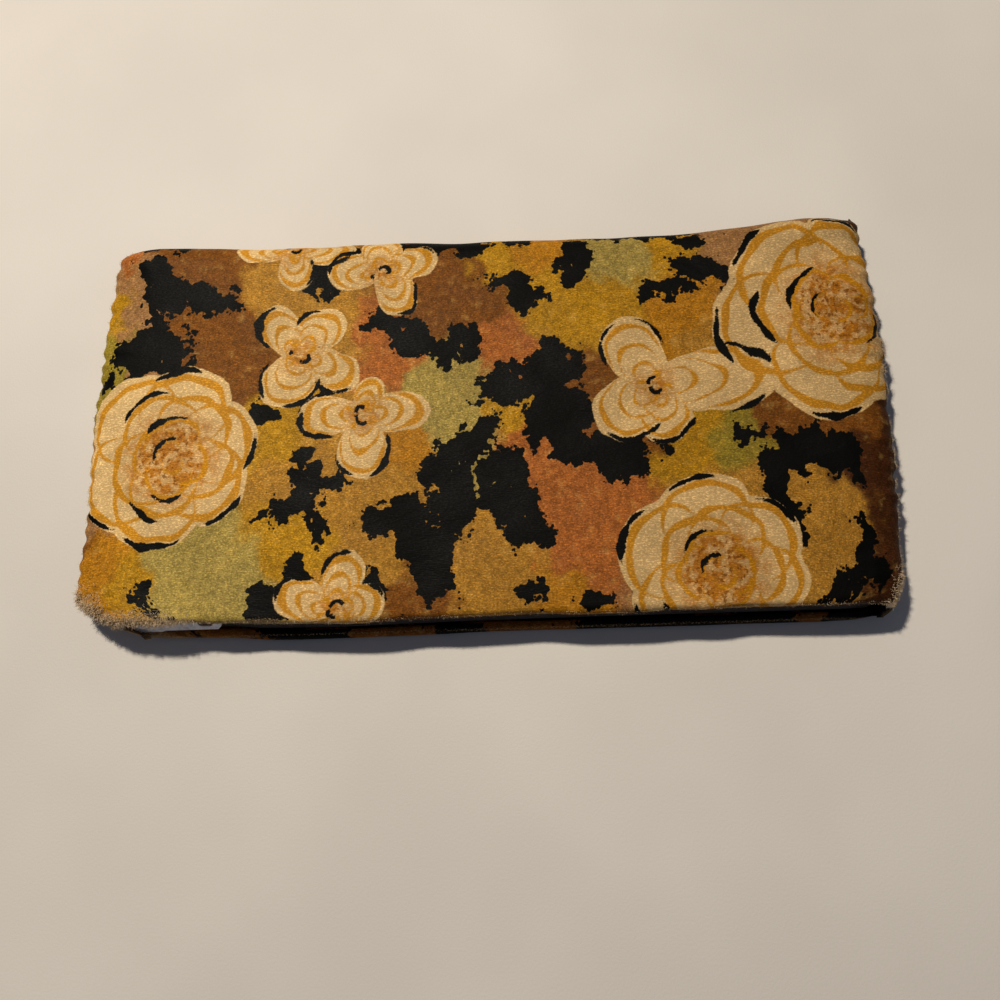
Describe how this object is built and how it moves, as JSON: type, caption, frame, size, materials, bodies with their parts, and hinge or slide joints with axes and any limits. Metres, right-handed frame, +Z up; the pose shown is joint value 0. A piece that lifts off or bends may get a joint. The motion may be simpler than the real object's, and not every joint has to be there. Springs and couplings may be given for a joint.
{
  "type": "zippered pouch",
  "caption": "Flat padded rectangular fabric pouch that opens along one long edge with a zip hidden under an overhanging hem, to hold small items.",
  "frame": {"origin": "middle of the underside, on the surface that the pouch lies on", "axes": "+X along the zip, from its closed end to its open end; -Y towards the mouth; +Z up"},
  "size_m": [0.204, 0.108, 0.0115],
  "materials": {
    "satin_print": "worn printed satin with a soft sheen, dark ground with gold, rust, sage and cream flowers",
    "batting": "matte off-white batting",
    "lining": "plain brown woven lining",
    "zip_tape": "woven dark herringbone tape",
    "zip_metal": "dulled",
    "slider_metal": "dull worn die-cast metal",
    "thread": "spun thread"
  },
  "bodies": {
    "back_panel": {"back_cover": "satin_print", "cover_fold": "satin_print", "cover_lip": "satin_print", "back_padding": "batting", "back_lining": "lining", "back_zipper_tape": "zip_tape", "back_teeth": "zip_metal", "back_top_stop": "zip_metal", "bottom_stop": "zip_metal", "back_stitching": "thread", "side_seam_left": "satin_print", "side_seam_right": "satin_print", "side_stitches_left": "thread", "side_stitches_right": "thread"},
    "front_panel": {"front_cover": "satin_print", "front_padding": "batting", "front_lining": "lining", "front_zipper_tape": "zip_tape", "front_teeth": "zip_metal", "front_top_stop": "zip_metal", "front_stitching": "thread"},
    "slider": {"slider_body": "slider_metal", "slider_bail": "slider_metal"},
    "pull_tab": {"pull_tab": "slider_metal"}
  },
  "joints": [
    {"name": "slider_travel", "type": "slide", "parent": "back_panel", "child": "slider", "axis": [1, 0, 0], "range_m": [0, 0.1625], "deforming": ["back_teeth"]},
    {"name": "mouth_opening", "type": "hinge", "parent": "back_panel", "child": "front_panel", "pos_m": [0, 0.04825, 0.00575], "axis": [-1, 0, 0], "range_deg": [0, 10], "deforming": ["front_zipper_tape", "front_teeth"]},
    {"name": "pull_tab_flip", "type": "hinge", "parent": "slider", "child": "pull_tab", "pos_m": [-0.0832, -0.05068, 0.00671], "axis": [0, -0.7071, -0.7071], "range_deg": [0, 165]}
  ],
  "couplings": [
    {"joint": "mouth_opening", "follows": "slider_travel", "rad_per_m": 1.0739}
  ]
}
